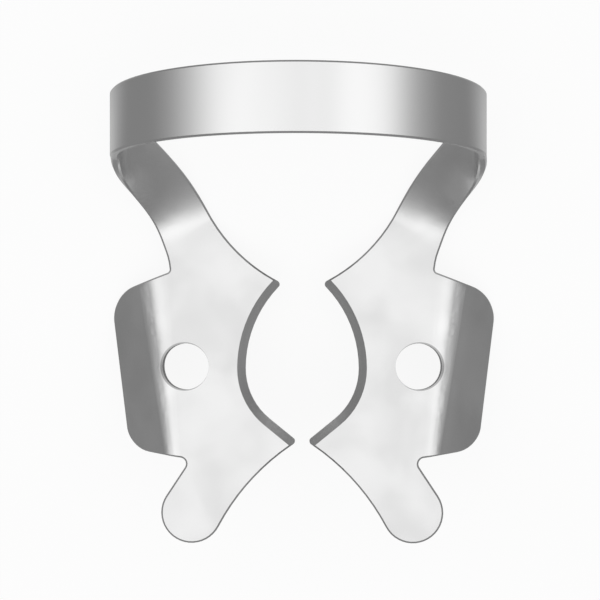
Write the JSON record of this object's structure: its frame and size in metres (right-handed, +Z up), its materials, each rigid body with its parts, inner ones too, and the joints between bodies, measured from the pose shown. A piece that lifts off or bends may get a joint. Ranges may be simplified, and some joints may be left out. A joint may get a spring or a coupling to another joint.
{
  "type": "rubber dam clamp",
  "caption": "Winged rubber dam clamp: a bent spring-steel strip whose arched bow joins facing jaws with tooth points, wings, tongues and forceps holes.",
  "frame": {"origin": "centre of the bounding box at its bottom, on the table that the clamp lies on", "axes": "+X across the clamp towards its right jaw, +Y from the front tongues towards the bow, +Z up from the table; the jaws slope down towards the bow as the clamp rests on its wings and legs"},
  "size_m": [0.0208, 0.0288, 0.0113],
  "materials": {
    "steel": "satin"
  },
  "bodies": {
    "root": {"clamp": "steel"}
  },
  "joints": []
}
